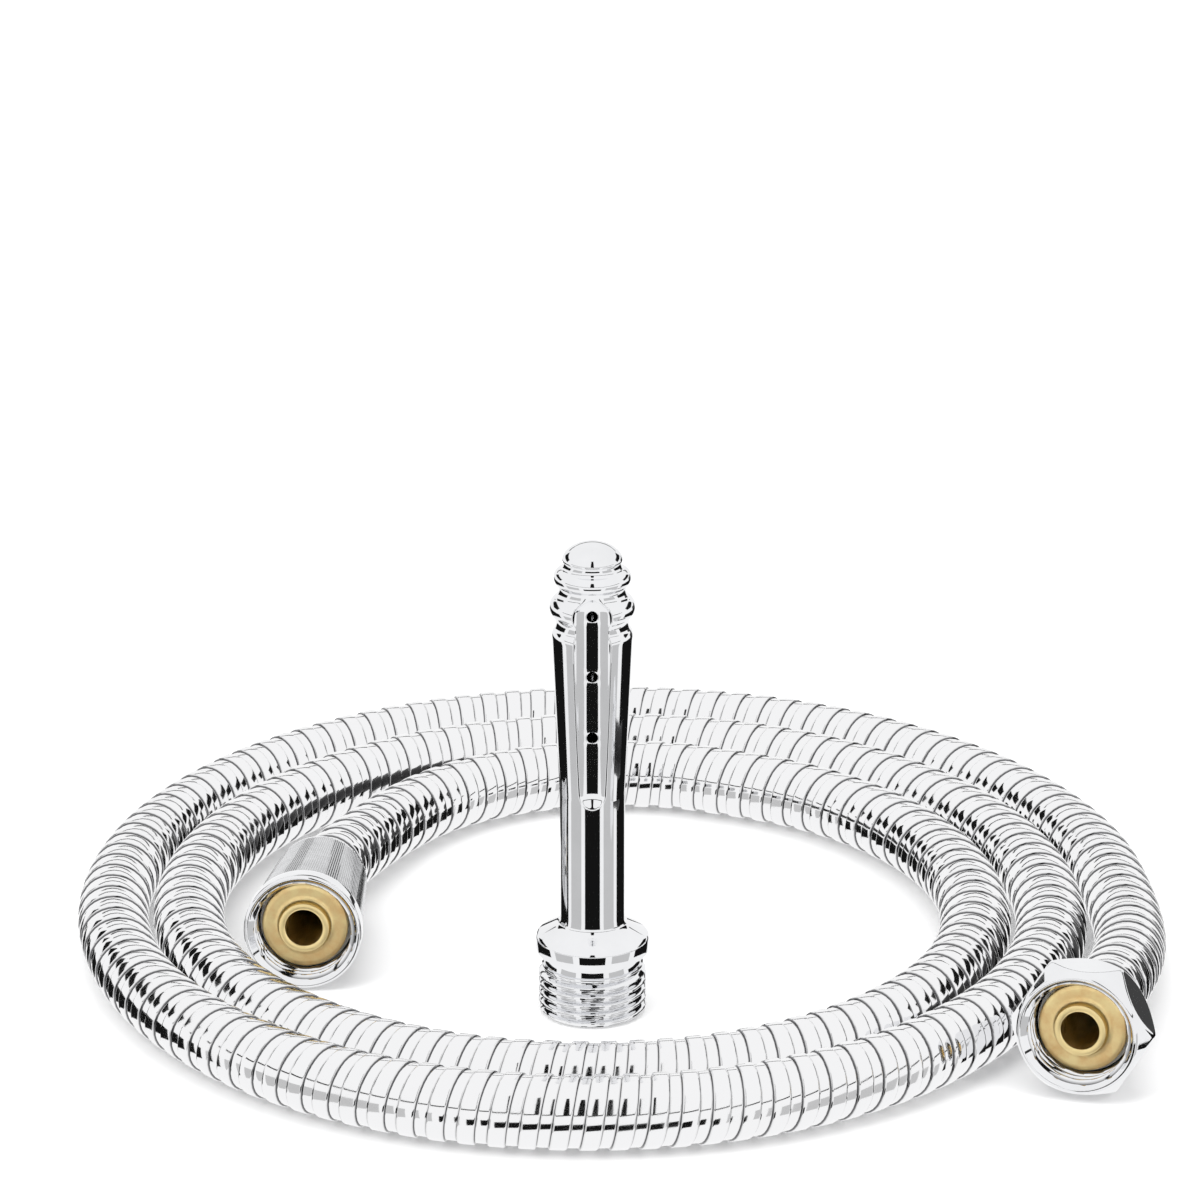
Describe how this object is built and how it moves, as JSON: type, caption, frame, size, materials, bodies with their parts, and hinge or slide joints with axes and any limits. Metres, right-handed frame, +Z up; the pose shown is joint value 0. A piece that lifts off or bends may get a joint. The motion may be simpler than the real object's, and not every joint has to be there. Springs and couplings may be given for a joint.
{
  "type": "handheld bath sprayer",
  "caption": "Fluted metal spray nozzle with a male pipe thread, standing inside a coiled metal shower hose that has a round nut and a hexagon nut.",
  "frame": {"origin": "middle of the nozzle's inlet face, on the surface that the nozzle and the hose rest on", "axes": "+Z up along the nozzle's axis; the flutes and jets face -Y and +Y; +X to the hexagon nut's side"},
  "size_m": [0.2148, 0.2126, 0.0955],
  "materials": {
    "nozzle_chrome": "mirror polished chrome plate",
    "hose_steel": "bright polished interlocked steel strip",
    "nut_chrome": "chrome plate, knurled taper",
    "insert_brass": "turned bare brass",
    "bush_nylon": "moulded nylon",
    "ferrule_steel": "drawn stainless steel",
    "inner_tube_rubber": "smooth black EPDM"
  },
  "bodies": {
    "hose": {"hose_coil": "hose_steel", "hose_casing_round_end": "hose_steel", "hose_casing_hex_end": "hose_steel", "inner_tube_round_end": "inner_tube_rubber", "inner_tube_hex_end": "inner_tube_rubber", "round_end_insert": "insert_brass", "round_end_bush": "bush_nylon", "round_end_ferrule": "ferrule_steel", "hex_end_insert": "insert_brass", "hex_end_bush": "bush_nylon", "hex_end_ferrule": "ferrule_steel"},
    "nozzle": {"nozzle_body": "nozzle_chrome"},
    "round_nut": {"round_nut": "nut_chrome"},
    "hex_nut": {"hex_nut": "nut_chrome"}
  },
  "joints": [
    {"name": "nozzle_lift", "type": "slide", "parent": "hose", "child": "nozzle", "axis": [0, 0, 1], "range_m": [0, 0.12]},
    {"name": "round_nut_spin", "type": "hinge", "parent": "hose", "child": "round_nut", "pos_m": [-0.0565, 0.0085, 0.01195], "axis": [-0.0608, -0.9948, 0.0819], "continuous": true},
    {"name": "hex_nut_spin", "type": "hinge", "parent": "hose", "child": "hex_nut", "pos_m": [0.09, -0.042, 0.0133], "axis": [-0.3078, -0.9474, 0.0872], "continuous": true}
  ]
}
